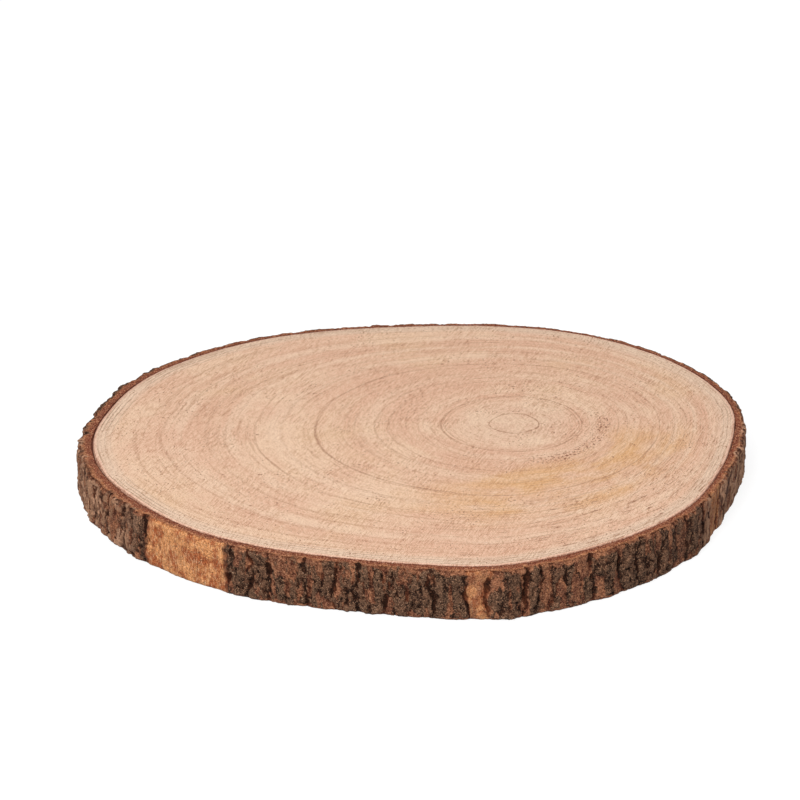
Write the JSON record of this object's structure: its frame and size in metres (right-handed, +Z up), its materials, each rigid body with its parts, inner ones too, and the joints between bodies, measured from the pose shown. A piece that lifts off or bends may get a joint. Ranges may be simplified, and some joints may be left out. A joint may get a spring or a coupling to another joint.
{
  "type": "wood slice",
  "caption": "Flat slice sawn across a tree trunk, with growth rings round an off-centre pith and a rough ring of bark; a serving board, cake stand or candle base.",
  "frame": {"origin": "middle of the bounding box, on the underside that rests on the table", "axes": "+Z up through the thickness, +X along the widest way across, towards the side where the pith is"},
  "size_m": [0.3256, 0.3046, 0.025],
  "materials": {
    "sawn_wood": "matt, fine-sawn and lightly sanded end grain",
    "bark": "rough grey-brown cork over red-brown inner bark"
  },
  "bodies": {
    "root": {"wood_slice": "sawn_wood"}
  },
  "joints": []
}
